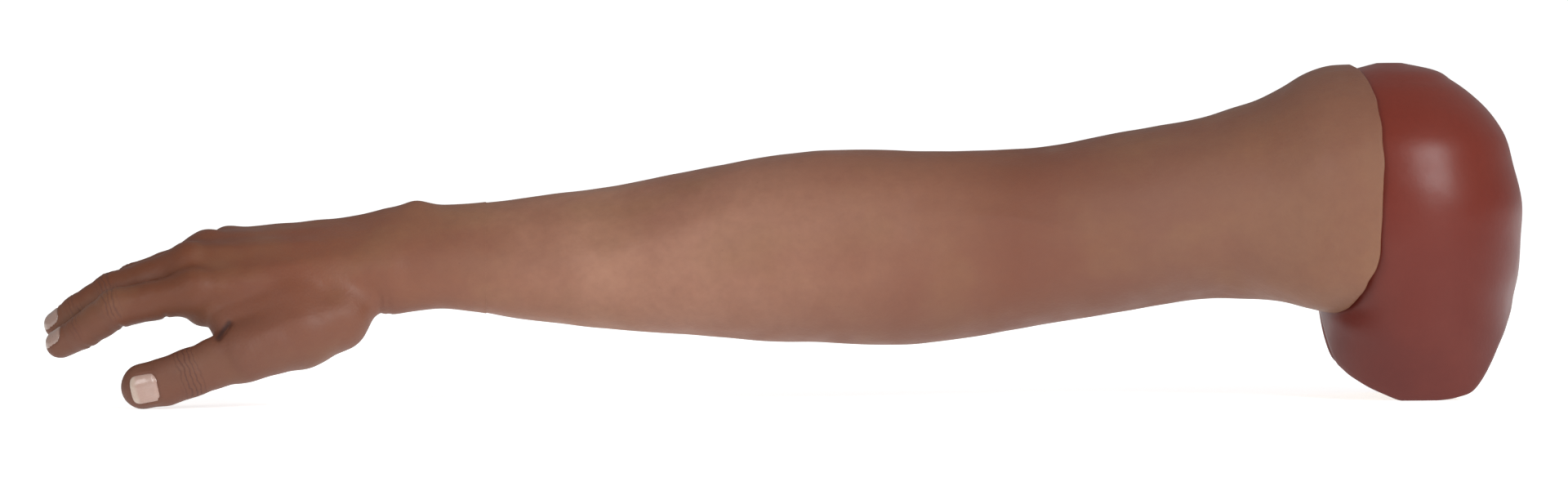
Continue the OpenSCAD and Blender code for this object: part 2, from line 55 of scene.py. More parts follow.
# ------------------------------------------------------------------ small helpers
def vec(*v):
    return np.array(v, float)


def unit(v):
    return v / np.linalg.norm(v)


def joint_at(name):
    """A joint's centre in millimetres."""
    return np.array(joints[name]["pos_m"], float) / MM


def curve(x, rows, column):
    """Smooth value of one column at x, through rows that start with their own x."""
    table = np.array(rows, float)
    knots, values = table[:, 0], table[:, column]
    slopes = np.gradient(values, knots)
    x = np.clip(x, knots[0], knots[-1])
    i = np.clip(np.searchsorted(knots, x) - 1, 0, len(knots) - 2)
    h = knots[i + 1] - knots[i]
    t = (x - knots[i]) / h
    return ((2 * t**3 - 3 * t**2 + 1) * values[i] + (t**3 - 2 * t**2 + t) * h * slopes[i]
            + (3 * t**2 - 2 * t**3) * values[i + 1] + (t**3 - t**2) * h * slopes[i + 1])


def smooth_min(a, b, k):
    h = np.clip(0.5 + 0.5 * (b - a) / k, 0, 1)
    return b + (a - b) * h - k * h * (1 - h)


def smooth_step(x, low, high):
    t = np.clip((x - low) / (high - low), 0, 1)
    return t * t * (3 - 2 * t)


def segment_distance(p, a, b):
    ab = b - a
    t = np.clip(((p - a) @ ab) / (ab @ ab), 0, 1)
    v = p - a - t[:, None] * ab
    return np.sqrt((v * v).sum(1)), t


def limb(p, a, b, ra, rb, flat=None, share=1.0):
    """Distance to a round bar from a to b, thinner by share along the direction flat."""
    ab = b - a
    t = np.clip(((p - a) @ ab) / (ab @ ab), 0, 1)
    v = p - a - t[:, None] * ab
    d2 = (v * v).sum(1)
    if flat is not None:
        d2 = d2 + (v @ flat) ** 2 * (1 / share**2 - 1)
    return np.sqrt(d2) - (ra + (rb - ra) * t)


# ------------------------------------------------------------------ shape of the arm
# x, top, bottom, half depth, lean of the section in degrees
ARM = [
    (-215, 95.5, 42, 26, 22), (-202, 98.0, 45, 26, 21), (-186, 99.6, 47.6, 26.2, 20),
    (-170, 100.2, 48.8, 27, 20), (-156, 101.2, 47.2, 28.4, 19), (-132, 103.7, 42.8, 30.6, 17),
    (-107, 106.8, 39.8, 33.5, 14), (-82, 110.2, 37.3, 36.5, 12), (-57, 115.0, 34.8, 39, 9),
    (-32, 119.9, 33.0, 41, 6), (-8, 123.9, 30.8, 42.6, 3), (17, 127.0, 29.6, 43.2, 0),
    (42, 127.3, 28.2, 43, 0), (67, 126.6, 28.6, 42.6, 0), (92, 126.3, 31.2, 43, 0),
    (117, 126.8, 35.3, 44.6, 0), (142, 129.4, 39.6, 46.6, 0), (166, 133.8, 43.3, 48, 0),
    (191, 138.3, 47.5, 49, 0), (216, 142.9, 50.6, 51, 0), (230, 147.2, 50.4, 52.8, 0),
    (242, 151.2, 50.1, 55, 0), (254, 157.4, 48.9, 59.2, 0), (266, 164.2, 45.6, 64, 0),
    (276, 167.4, 43.2, 67.2, 0), (288, 168.5, 42.8, 70, 0), (303, 168.3, 42.7, 71.8, 0)]
# elevation round the section, x of the free edge there
FREE_EDGE = [(-90, 271.8), (-72, 280.2), (-47, 289), (-31, 294.5), (-20, 298.3), (-4, 300.6),
             (15, 301.8), (36, 301), (54, 297.7), (75, 291.5), (90, 286.5)]
FLARE_START = 225
# the flare's lower half is squarer, to pass round the cap
SQUARE_FROM, SQUARE_TO, SQUARE_POWER = 222, 268, 4.0


def arm_section(x):
    top, low = curve(x, ARM, 1), curve(x, ARM, 2)
    return (top + low) / 2, (top - low) / 2, curve(x, ARM, 3), np.radians(curve(x, ARM, 4))


def arm_field(p):
    """Signed distance, near the surface, to the arm's plain outline."""
    mid, high, deep, lean = arm_section(p[:, 0])
    u, v = p[:, 1] / deep, (p[:, 2] - mid) / high
    q = np.sqrt(u * u + ((v - u * np.sin(lean)) / np.cos(lean)) ** 2)
    q = np.maximum(q, 0.05)
    return np.sqrt(p[:, 1] ** 2 + (p[:, 2] - mid) ** 2) * (1 - 1 / q)


# ------------------------------------------------------------------ shape of the hand
HAND_ROLL = math.radians(38)
DORSAL = vec(0, -math.sin(HAND_ROLL), math.cos(HAND_ROLL))
PALMAR = -DORSAL
HAND_CUT = -150.0

# end joint, fingertip centre, then radii at base joint, mid, middle joint, end joint and tip
DIGITS = {
    "index": dict(end=vec(-354, -15, 39), tip=vec(-366, -9, 33),
                  radii=(10.8, 10.4, 10.3, 9.0, 7.6)),
    "middle": dict(end=vec(-357, 2, 48.3), tip=vec(-367.6, 7, 42),
                   radii=(10.8, 10.2, 10.0, 8.8, 7.4)),
    "ring": dict(shift=vec(0, 1, 0), end=vec(-347, 27, 47), tip=vec(-358, 31, 36),
                 radii=(10.4, 9.6, 9.4, 8.2, 7.0)),
    "little": dict(shift=vec(0, 2, 0), end=vec(-328, 43, 61), tip=vec(-341.5, 47, 53),
                   radii=(9.4, 8.4, 8.2, 7.2, 6.2)),
    "thumb": dict(end=vec(-312, -39, 13.9), tip=vec(-323.2, -38, 11.6),
                  radii=(14.8, 13.0, 12.2, 11.8, 11.5))}
for name, digit in DIGITS.items():
    digit["base"] = joint_at(name + "_base_bend")
    digit["mid"] = joint_at(name + "_end_bend") + digit.get("shift", 0)
    digit["along"] = unit(digit["mid"] - digit["base"])
    digit["back"] = DORSAL if name != "thumb" else unit(vec(-0.1, -1, 0.02))
THUMB = DIGITS["thumb"]
FINGERS = ("index", "middle", "ring", "little")
CARPAL = {"index": vec(-203, -13, 69), "middle": vec(-202, -4, 75), "ring": vec(-202, 6, 81),
          "little": vec(-202, 15, 83)}
FLATNESS = {"thumb": 0.84}


def digit_field(p, digit, share=0.96):
    """Distance to a finger or the thumb alone."""
    r = digit["radii"]
    base, mid, end, tip = digit["base"], digit["mid"], digit["end"], digit["tip"]
    waist = base + (mid - base) * 0.55
    waist2 = mid + (end - mid) * 0.5
    back = digit["back"]
    pulp = tip - back * r[4] * 0.12
    slim = (r[2] + r[3]) / 2 - 0.35
    parts = [(base, waist, r[0], r[1] - 0.5), (waist, mid, r[1] - 0.5, r[2]),
             (mid, waist2, r[2], slim), (waist2, end, slim, r[3]), (end, pulp, r[3], r[4])]
    d = None
    for a, b, ra, rb in parts:
        piece = limb(p, a, b, ra, rb, back, share)
        d = piece if d is None else smooth_min(d, piece, 2.0)
    return d


def palm_field(p):
    """Distance to the hand without its fingers, joined smoothly to the arm."""
    arm = arm_field(p)
    stop = -212 - p[:, 0]
    arm = -smooth_min(-arm, -stop, 20)
    d = arm
    for name in FINGERS:
        digit, root = DIGITS[name], CARPAL[name]
        head = digit["base"] + DORSAL * 0.6
        bone = limb(p, root, head, 11.5, 10.6 if name != "little" else 9.6, DORSAL, 0.92)
        pad_from = root + PALMAR * 6 + vec(-14, 0, 0)
        pad_to = digit["base"] + PALMAR * (8.5 if name != "little" else 7) + vec(5, 0, 0)
        pad = limb(p, pad_from, pad_to, 12, 11.5 if name != "little" else 11, DORSAL, 0.9)
        d = smooth_min(d, smooth_min(bone, pad, 7), 11)
    heel = limb(p, vec(-212, 14, 62), vec(-262, 26, 67), 15, 13.5)
    d = smooth_min(d, heel, 8)
    thenar = limb(p, vec(-226, -19, 44.5), vec(-244, -25, 38.5), 16.5, 18.2)
    thenar = smooth_min(thenar, limb(p, vec(-244, -25, 38.5), THUMB["base"], 18.2, 15.0), 4)
    d = smooth_min(d, thenar, 10)
    web = limb(p, vec(-247, -24, 50), vec(-280, -28.5, 42.8), 13, 8.3, vec(0, 1, 0), 0.9)
    return smooth_min(d, web, 8)


def hand_field(p):
    palm = palm_field(p)
    total = smooth_min(palm, digit_field(p, THUMB, FLATNESS["thumb"]), 3.5)
    for name in FINGERS:
        total = smooth_min(total, smooth_min(palm, digit_field(p, DIGITS[name]), 6), 0.7)
    return total


def foam_core_field(p):
    """The foam inside the hand, from the wrist to behind the knuckles."""
    wrist = p[:, 0] + 194
    return np.maximum(palm_field(p) + 3.2, wrist)


def core_field(p):
    """A little under the hand's skin: what shows if the skin parts at a knuckle."""
    d = palm_field(p)
    for digit in DIGITS.values():
        reach = digit["base"] + digit["along"] * 9
        d = smooth_min(d, limb(p, digit["base"], reach, digit["radii"][0] - 1, digit["radii"][1] - 2), 5)
    return d + 1.1


# ------------------------------------------------------------------ mesh from a field
def surface_nets(f, xs, ys, zs):
    """Vertices and quads of the zero surface of f on a grid of coordinates."""
    inside = f < 0
    corners = [(i, j, k) for i in (0, 1) for j in (0, 1) for k in (0, 1)]
    shape = tuple(n - 1 for n in f.shape)

    def corner(a, c):
        return a[c[0]:c[0] + shape[0], c[1]:c[1] + shape[1], c[2]:c[2] + shape[2]]

    count = sum(corner(inside, c).astype(np.int8) for c in corners)
    cells = np.argwhere((count > 0) & (count < 8))
    index = -np.ones(shape, np.int64)
    index[tuple(cells.T)] = np.arange(len(cells))
    total = np.zeros((len(cells), 3))
    hits = np.zeros(len(cells))
    for c in corners:
        for axis in range(3):
            if c[axis]:
                continue
            d = tuple(c[i] + (1 if i == axis else 0) for i in range(3))
            a = f[tuple((cells + c).T)]
            b = f[tuple((cells + d).T)]
            cross = (a < 0) != (b < 0)
            t = np.where(cross, a / np.where(a == b, 1, a - b), 0)
            q = np.tile(np.array(c, float), (len(cells), 1))
            q[:, axis] += t
            total[cross] += q[cross]
            hits[cross] += 1
    place = cells + total / hits[:, None]
    verts = np.stack([np.interp(place[:, i], np.arange(len(g)), g)
                      for i, g in enumerate((xs, ys, zs))], 1)
    quads = []
    for axis in range(3):
        b, c = [(1, 2), (2, 0), (0, 1)][axis]
        step = np.zeros(3, int)
        step[axis] = 1
        size = np.array(f.shape) - step
        low = tuple(slice(0, n) for n in size)
        high = tuple(slice(s, s + n) for s, n in zip(step, size))
        cross = inside[low] != inside[high]
        at = np.argwhere(cross)
        at = at[(at[:, b] > 0) & (at[:, c] > 0) & (at[:, b] < shape[b]) & (at[:, c] < shape[c])]
        sb, sc = np.zeros(3, int), np.zeros(3, int)
        sb[b], sc[c] = 1, 1
        quad = np.stack([index[tuple(q.T)] for q in (at - sb - sc, at - sc, at, at - sb)], 1)
        flip = ~inside[tuple(at.T)]
        quad[flip] = quad[flip][:, ::-1]
        quads.append(quad)
    return verts, np.concatenate(quads)


def field_mesh(field, low, high, step, coarse=5, rounds=3):
    """Mesh of a field's zero surface, worked out finely only near the surface."""
    axes = [np.arange(a, b + step, step) for a, b in zip(low, high)]
    rough = [g[::coarse] if (len(g) - 1) % coarse == 0 else np.append(g[::coarse], g[-1]) for g in axes]
    grid = np.stack(np.meshgrid(*rough, indexing="ij"), -1)
    value = field(grid.reshape(-1, 3)).reshape(grid.shape[:3])
    full = value
    for axis in range(3):
        at = np.interp(axes[axis], rough[axis], np.arange(len(rough[axis])))
        i = np.clip(at.astype(int), 0, full.shape[axis] - 2)
        t = (at - i).reshape([-1 if k == axis else 1 for k in range(3)])
        full = np.take(full, i, axis) * (1 - t) + np.take(full, i + 1, axis) * t
    near = np.abs(full) < coarse * step * 0.9
    where = np.argwhere(near)
    points = np.stack([axes[i][where[:, i]] for i in range(3)], 1)
    full[near] = field(points)
    verts, quads = surface_nets(full, *axes)
    quads = quads[(quads >= 0).all(1)]
    for _ in range(rounds):
        verts = relax(verts, quads, 0.5)
        verts = project(field, verts)
    return verts, quads


def relax(verts, quads, amount):
    total, count = np.zeros_like(verts), np.zeros(len(verts))
    for a, b in ((0, 1), (1, 2), (2, 3), (3, 0)):
        np.add.at(total, quads[:, a], verts[quads[:, b]])
        np.add.at(total, quads[:, b], verts[quads[:, a]])
        np.add.at(count, quads[:, a], 1)
        np.add.at(count, quads[:, b], 1)
    edge = boundary(quads, len(verts))
    moved = verts + (total / np.maximum(count, 1)[:, None] - verts) * amount
    moved[edge] = verts[edge]
    return moved


def boundary(quads, count):
    """Which vertices lie on an open edge."""
    edges = np.sort(np.concatenate([quads[:, [a, b]] for a, b in ((0, 1), (1, 2), (2, 3), (3, 0))]), 1)
    pairs, times = np.unique(edges, axis=0, return_counts=True)
    mark = np.zeros(count, bool)
    mark[pairs[times == 1].ravel()] = True
    return mark


def gradient(field, p, h=0.35):
    g = np.empty_like(p)
    for i in range(3):
        step = np.zeros(3)
        step[i] = h
        g[:, i] = field(p + step) - field(p - step)
    return g / (2 * h)


def project(field, p):
    g = gradient(field, p)
    move = field(p) / np.maximum((g * g).sum(1), 0.2)
    return p - g * np.clip(move, -1.5, 1.5)[:, None]


def vertex_normals(verts, faces):
    normals = np.zeros_like(verts)
    a, b, c, d = (verts[faces[:, i]] for i in range(4))
    flat = np.cross(c - a, d - b)
    for i in range(4):
        np.add.at(normals, faces[:, i], flat)
    return normals / np.maximum(np.linalg.norm(normals, axis=1), 1e-12)[:, None]


# ------------------------------------------------------------------ detail on the skin
def wave_noise(p, scale, seed):
    """Smooth repeatable noise, about -1 to 1."""
    rng = np.random.default_rng(seed)
    total = np.zeros(len(p))
    for _ in range(7):
        way = unit(rng.normal(size=3)) * rng.uniform(0.6, 1.6) / scale
        total += np.sin(p @ way * 2 * math.pi + rng.uniform(0, 2 * math.pi))
    return total / 4


def ridge(p, points, width, ends):
    """1 on a line through points, falling to 0 over the width, and fading at its two ends."""
    best = np.full(len(p), 1e9)
    along = np.zeros(len(p))
    lengths = [np.linalg.norm(b - a) for a, b in zip(points, points[1:])]
    total = sum(lengths)
    done = 0.0
    for (a, b), length in zip(zip(points, points[1:]), lengths):
        d, t = segment_distance(p, a, b)
        closer = d < best
        best = np.where(closer, d, best)
        along = np.where(closer, done + t * length, along)
        done += length
    fade = smooth_step(along, 0, ends) * smooth_step(total - along, 0, ends)
    return np.exp(-(best / width) ** 2) * fade


def groove(p, centre, along, offset, width, wobble):
    """1 in a crease that runs across the direction along."""
    s = (p - centre) @ along - offset + wobble
    return np.exp(-(s / width) ** 2)


def front_line(points, width, ends):
    """A ridge function for a line drawn on the front of the arm, given as x and z."""
    line = [vec(x, 0, z) for x, z in points]

    def apply(p):
        flat = p * vec(1, 0, 1)
        return ridge(flat, line, width, ends) * smooth_step(-p[:, 1], 2, 16)
    return apply


ARM_LINES = [
    # (line, height): forearm muscle border, elbow hollow, biceps tendon, veins
    (front_line([(-140, 66), (-80, 78), (-30, 96), (10, 112)], 7, ends=30), 0.9),
    (front_line([(-120, 58), (-60, 62), (0, 70)], 9, ends=30), -0.5),
    (front_line([(64, 112), (70, 92), (66, 74)], 7, ends=14), -0.9),
    (front_line([(84, 96), (118, 92), (160, 84), (200, 80)], 5.5, ends=25), 0.8),
    (front_line([(112, 96), (140, 88), (184, 78)], 2.2, ends=18), 0.35),
    (front_line([(72, 88), (96, 74), (120, 66)], 8, ends=14), -0.6),
    (front_line([(-20, 86), (20, 92), (52, 88)], 2.4, ends=18), 0.25),
    (front_line([(-110, 92), (-70, 96), (-30, 104)], 2.2, ends=18), 0.25)]


def arm_detail(p):
    """Height of muscles, creases and veins above the plain outline of the arm."""
    h = 0.35 * wave_noise(p, 46, 3) + 0.12 * wave_noise(p, 17, 4)
    h *= smooth_step(p[:, 0], -215, -170)
    for line, height in ARM_LINES:
        h += height * line(p)
    ulnar_head = vec(-186, 7, 100)
    h += 2.9 * np.exp(-(((p - ulnar_head) * vec(1, 0.8, 0.8)) ** 2).sum(1) / 8.5**2)
    for x, depth in ((-203.5, 0.7), (-199.5, 0.45)):
        bend = 0.05 * (p[:, 2] - 50) ** 2 / 8
        crease = np.exp(-((p[:, 0] - x + bend) / 1.1) ** 2)
        h -= depth * crease * smooth_step(62 - p[:, 2], 0, 12) * smooth_step(p[:, 1], 8, -14)
    point_of_elbow = vec(50, 43, 78)
    h += 1.6 * np.exp(-(((p - point_of_elbow) * vec(1, 1, 0.8)) ** 2).sum(1) / 18**2)
    return h


def web_slit(p, normal):
    """1 in the short deep fold between the thumb and the palm."""
    line = [vec(-286.5, 0, 34), vec(-282.5, 0, 39.5), vec(-278, 0, 45)]
    return ridge(p * vec(1, 0, 1), line, 1.5, 2.5) * smooth_step(-normal[:, 1], -0.2, 0.3)


def fold_shares(p, normal):
    """For the shader: millimetres across the nearest set of skin folds, and how strong they are."""
    dorsal = smooth_step(normal @ DORSAL, 0.0, 0.5)
    across, strength = np.zeros(len(p)), np.zeros(len(p))
    sets = []
    for name, d in DIGITS.items():
        first, second = unit(d["mid"] - d["base"]), unit(d["end"] - d["mid"])
        third = unit(d["tip"] - d["end"])
        reach = np.minimum(limb(p, d["base"], d["mid"], 0, 0), limb(p, d["mid"], d["tip"], 0, 0))
        own = np.exp(-(np.maximum(reach - 12.5, 0) / 2.0) ** 2)
        if name == "thumb":
            side = smooth_step(normal @ d["back"], -0.1, 0.5)
            sets.append((d["mid"] + first * 0.5, unit(first + second), 5.6, own * side))
            sets.append((d["base"] - first * 6, first, 8.0, 0.5 * own * side))
        else:
            sets.append((d["mid"], unit(first + second), 4.4, 0.8 * own * dorsal))
            sets.append((d["end"], unit(second + third), 2.6, 0.6 * own * dorsal))
    for centre, along, width, share in sets:
        s = (p - centre) @ along
        share = share * np.exp(-(s / width) ** 4)
        across = np.where(share > strength, s, across)
        strength = np.maximum(share, strength)
    # crease is the web slit's mask; the skin shader uses it to paint shade into the fold between the thumb
    # and the palm.
    return {"fold": across, "fold_share": strength, "crease": web_slit(p, normal)}


def hand_detail(p, normal):
    """Height of knuckles, tendons, wrinkles and creases over the hand's plain outline."""
    h = 0.18 * wave_noise(p, 15, 8) * smooth_step(-p[:, 0], 200, 215)
    wobble = 0.45 * wave_noise(p, 9, 5)
    dorsal_side = smooth_step(normal @ DORSAL, 0.05, 0.55)
    palm_side = smooth_step(normal @ PALMAR, 0.0, 0.5)
    for name in FINGERS:
        digit = DIGITS[name]
        base, mid, end, tip = digit["base"], digit["mid"], digit["end"], digit["tip"]
        nearest = np.minimum(limb(p, base, mid, 0, 0), limb(p, mid, end, 0, 0))
        nearest = np.minimum(nearest, limb(p, end, tip, 0, 0))
        own = np.exp(-(np.maximum(nearest - 11, 0) / 2.0) ** 2)
        first, second = unit(mid - base), unit(end - mid)
        bend_mid, bend_end = unit(first + second), unit(second + unit(tip - end))
        knuckle = base + DORSAL * 10
        h += 0.9 * np.exp(-((p - knuckle) ** 2).sum(1) / 7.0**2)
        tendon = [CARPAL[name] + DORSAL * 10, (CARPAL[name] + base) / 2 + DORSAL * 10.5, knuckle]
        h += 0.3 * ridge(p, tendon, 3.4, 18) * dorsal_side
        for offset, depth in ((-2.6, 0.30), (-0.8, 0.38), (1.2, 0.38), (3.0, 0.28)):
            h -= depth * own * dorsal_side * groove(p, mid, bend_mid, offset, 0.7, wobble)
        for offset, depth in ((-1.2, 0.26), (0.5, 0.30), (2.0, 0.22)):
            h -= depth * own * dorsal_side * groove(p, end, bend_end, offset, 0.6, wobble)
        h -= 1.0 * own * palm_side * groove(p, mid, bend_mid, 0.5, 1.1, wobble)
        h -= 0.8 * own * palm_side * groove(p, end, bend_end, 0.5, 1.0, wobble)
        h -= 0.9 * own * palm_side * groove(p, base + first * 17, first, 0, 1.2, wobble)
        h += 0.45 * np.exp(-((p - mid - DORSAL * 6) ** 2).sum(1) / 7.5**2)
    t = THUMB
    first, second = unit(t["mid"] - t["base"]), unit(t["end"] - t["mid"])
    back_side = smooth_step(normal @ t["back"], -0.15, 0.55)
    front_side = smooth_step(-(normal @ t["back"]), -0.1, 0.5)
    near_thumb = np.exp(-(np.maximum(limb(p, t["base"], t["tip"], 0, 0) - 14, 0) / 2.5) ** 2)
    bend = unit(first + second)
    arc = 0.012 * ((p - t["mid"]) @ unit(np.cross(bend, t["back"]))) ** 2
    for i, depth in enumerate((0.08, 0.12, 0.16, 0.14, 0.12, 0.09)):
        wave = wobble * 1.3 + arc * (i - 2.5)
        h -= depth * near_thumb * back_side * groove(p, t["mid"], bend, -6.2 + 2.45 * i, 0.75, wave)
    h -= 0.9 * near_thumb * front_side * groove(p, t["mid"], bend, 0, 1.2, wobble)
    for i, depth in enumerate((0.25, 0.32, 0.28)):
        fold = groove(p, t["base"] - first * 12, first, -4 + 3.4 * i, 1.0, 1.8 * wobble)
        h -= depth * near_thumb * back_side * fold
    h -= 1.5 * web_slit(p, normal)
    for line, height, width in (
            ([vec(-222, -44, 56), vec(-246, -46, 46), vec(-268, -50, 36)], 0.6, 3.4),
            ([vec(-262, -36, 48), vec(-276, -37, 42)], -0.5, 3.0),
            ([vec(-236, -32, 78), vec(-262, -30, 74), vec(-286, -30, 68)], -0.35, 4.0)):
        h += height * ridge(p, line, width, 10)
    return h


# ------------------------------------------------------------------ nails
NAILS = {"thumb": (14.4, 13.6, 0.9), "index": (11.2, 11, 0.6), "middle": (11, 11, 0.6),
         "ring": (10.2, 10.5, 0.6), "little": (8.6, 9, 0.6)}


def nail_frame(name):
    """Centre on the skin, and the nail's own directions: towards the tip, sideways, outwards."""
    digit = DIGITS[name]
    ahead = unit(digit["tip"] - digit["end"])
    back = vec(-0.1, -1, -0.2) if name == "thumb" else digit["back"]
    out = unit(back - ahead * (back @ ahead))
    if name == "thumb":
        out = unit(out + ahead * 0.12)
        ahead = unit(ahead - out * (ahead @ out))
    side = np.cross(out, ahead)
    centre = digit["tip"] + ahead * (-2.8 if name == "thumb" else 0.6)
    return centre, ahead, side, out


def nail_bed(p, name):
    """How deep the skin sinks under a nail, and how far it swells round it."""
    wide, long_, _ = NAILS[name]
    centre, ahead, side, out = nail_frame(name)
    v = p - centre
    a, s, o = v @ ahead, v @ side, v @ out
    x = a / (long_ / 2)
    y = s / (wide / 2)
    squarish = (np.abs(x) ** 4 + np.abs(y) ** 4) ** 0.25
    near = smooth_step(o, 2.5, 5.0)
    sink = (1 - smooth_step(squarish, 0.9, 1.04)) * near
    swell = np.exp(-((squarish - 1.16) / 0.13) ** 2) * near * smooth_step(-x, -0.75, -0.1)
    return sink, swell


def add_nail(name, field):
    wide, long_, thick = NAILS[name]
    centre, ahead, side, out = nail_frame(name)
    nu, nv = 25, 21
    points = []
    for i in range(nu):
        for j in range(nv):
            x = -1 + 2 * i / (nu - 1)
            y = -1 + 2 * j / (nv - 1)
            corner = (abs(x) ** 5 + abs(y) ** 5) ** 0.2 or 1
            x, y = x * max(abs(x), abs(y)) / corner, y * max(abs(x), abs(y)) / corner
            reach = long_ / 2 + (0.7 if x > 0 else 0)
            points.append(centre + ahead * x * reach + side * y * wide / 2 + out * 14)
    p = np.array(points)
    for _ in range(60):
        p = p - out * np.clip(field(p), -2, 2)[:, None] * 0.8
    u = np.repeat(np.linspace(-1, 1, nu), nv)
    v = np.tile(np.linspace(-1, 1, nv), nu)
    drop = 0.45 * np.abs(v) ** 3 + 0.5 * smooth_step(-u, 0.72, 1.0) + 0.15
    top = p + out * (thick * 0.75 - drop)[:, None]
    low = top - out * 0.55
    verts = np.concatenate([top, low])
    n = nu * nv
    faces = []
    for i in range(nu - 1):
        for j in range(nv - 1):
            a = i * nv + j
            faces.append((a, a + 1, a + nv + 1, a + nv))
            faces.append((a + n, a + nv + n, a + nv + 1 + n, a + 1 + n))
    rim = ([i * nv for i in range(nu)] + [(nu - 1) * nv + j for j in range(1, nv)]
           + [i * nv + nv - 1 for i in range(nu - 2, -1, -1)] + list(range(nv - 2, 0, -1)))
    for a, b in zip(rim, rim[1:] + rim[:1]):
        faces.append((a, b, b + n, a + n))
    if np.dot(np.cross(top[1] - top[0], top[nv] - top[0]), out) < 0:
        faces = [f[::-1] for f in faces]
    share = {"nail_run": np.concatenate([u, u])}
    return make_piece(name + "_nail_plate", verts, np.array(faces), None, share)


# ------------------------------------------------------------------ Blender objects
def make_piece(name, verts, faces, normals=None, shares=None, triangles=()):
    """A mesh object from millimetre vertices, with its rest place kept for the materials."""
    triangles = np.array(triangles, int).reshape(-1, 3)
    used = np.unique(np.concatenate([faces.ravel(), triangles.ravel()]))
    back = np.zeros(len(verts), int)
    back[used] = np.arange(len(used))
    mesh = bpy.data.meshes.new(name)
    mesh.from_pydata((verts[used] * MM).tolist(), [], back[faces].tolist() + back[triangles].tolist())
    mesh.update()
    rest = mesh.attributes.new("rest", "FLOAT_VECTOR", "POINT")
    rest.data.foreach_set("vector", (verts[used] * MM).astype(np.float32).ravel())
    for key, value in (shares or {}).items():
        layer = mesh.attributes.new(key, "FLOAT", "POINT")
        layer.data.foreach_set("value", value[used].astype(np.float32))
    mesh.polygons.foreach_set("use_smooth", [True] * len(mesh.polygons))
    if normals is not None:
        mesh.normals_split_custom_set_from_vertices(normals[used].tolist())
    return link_object(name, mesh)


def loft_faces(rings, around):
    r, k = np.meshgrid(np.arange(rings - 1), np.arange(around), indexing="ij")
    r, k = r.ravel(), k.ravel()
    nxt = (k + 1) % around
    a, b = r * around + k, r * around + nxt
    return np.stack([a, b, b + around, a + around], 1)


# ------------------------------------------------------------------ skin of the arm
SKIN_THICK = 2.3
SEAM_REACH = 7
EDGE_DEPTH, EDGE_HEIGHT = 75, 62
# how many rings back from the free edge the skin has an inside
LINED_RINGS = 26


def cut_normals(verts, normals):
    """Near the forearm cut both skins take their normals from the same outline."""
    near = np.abs(verts[:, 0] - HAND_CUT) < SEAM_REACH
    exact = unit_rows(gradient(lambda p: arm_field(p) - arm_detail(p), verts[near]))
    share = smooth_step(SEAM_REACH - np.abs(verts[near, 0] - HAND_CUT), 0, 5)[:, None]
    normals = normals.copy()
    normals[near] = unit_rows(normals[near] * (1 - share) + exact * share)
    return normals


def arm_skin():
    """Vertices, quads and normals of the skin from the forearm cut to the free edge and back inside."""
    around = 176
    turn = np.arange(around) * 2 * math.pi / around
    stations = np.concatenate([np.arange(HAND_CUT, FLARE_START, 2.5), [FLARE_START]])
    elevation = np.degrees(np.arcsin(np.clip(np.sin(turn), -1, 1)))
    edge_x = curve(elevation, FREE_EDGE, 1)
    round_edge = np.stack([0 * turn, EDGE_DEPTH * np.cos(turn), EDGE_HEIGHT * np.sin(turn)], 1)
    edge_x = edge_x + 0.5 * wave_noise(round_edge, 22, 9)
    rings = [np.stack([np.full(around, x), turn], 1) for x in stations]
    for share in np.linspace(0, 1, 33)[1:]:
        rings.append(np.stack([FLARE_START + (edge_x - FLARE_START) * share, turn], 1))
    flat = np.concatenate(rings)
    x, t = flat[:, 0], flat[:, 1]
    mid, high, deep, lean = arm_section(x)
    square = 2 / (2 + (SQUARE_POWER - 2) * smooth_step(x, SQUARE_FROM, SQUARE_TO))
    square = np.where((np.sin(t) < 0) & (x > SQUARE_FROM), square, 1.0)
    across, up = np.cos(t), np.sin(t + lean)
    across = np.sign(across) * np.abs(across) ** square
    up = np.sign(up) * np.abs(up) ** square
    verts = np.stack([x, deep * across, mid + high * up], 1)
    count = len(rings)
    faces = loft_faces(count, around)[:, ::-1]
    normals = vertex_normals(verts, faces)
    if ((verts[:, 1:] - np.stack([0 * mid, mid], 1)) * normals[:, 1:]).sum() < 0:
        faces, normals = faces[:, ::-1], -normals
    verts = verts + normals * arm_detail(verts)[:, None]
    # the rim turns over a thin rounded edge and runs back inside
    outer = verts.reshape(count, around, 3)
    outward = vertex_normals(verts, faces).reshape(count, around, 3)
    last, n_last = outer[-1], unit_rows(outward[-1] * vec(0, 1, 1))
    inner_rings = []
    for ahead, inset in ((0.45, 0.25), (0.75, 0.9), (0.6, 1.7), (0.0, SKIN_THICK)):
        inner_rings.append(last + vec(ahead, 0, 0) - n_last * inset)
    for back in np.linspace(0.06, 1, 14):
        i = int(round((count - 1) - back * LINED_RINGS))
        inner_rings.append(outer[i] - outward[i] * SKIN_THICK)
    all_verts = np.concatenate([verts] + inner_rings)
    all_faces = loft_faces(count + len(inner_rings), around)
    if (faces[0] == loft_faces(count, around)[0][::-1]).all():
        all_faces = all_faces[:, ::-1]
    return all_verts, all_faces, cut_normals(all_verts, vertex_normals(all_verts, all_faces))


def unit_rows(v):
    return v / np.maximum(np.linalg.norm(v, axis=1), 1e-9)[:, None]


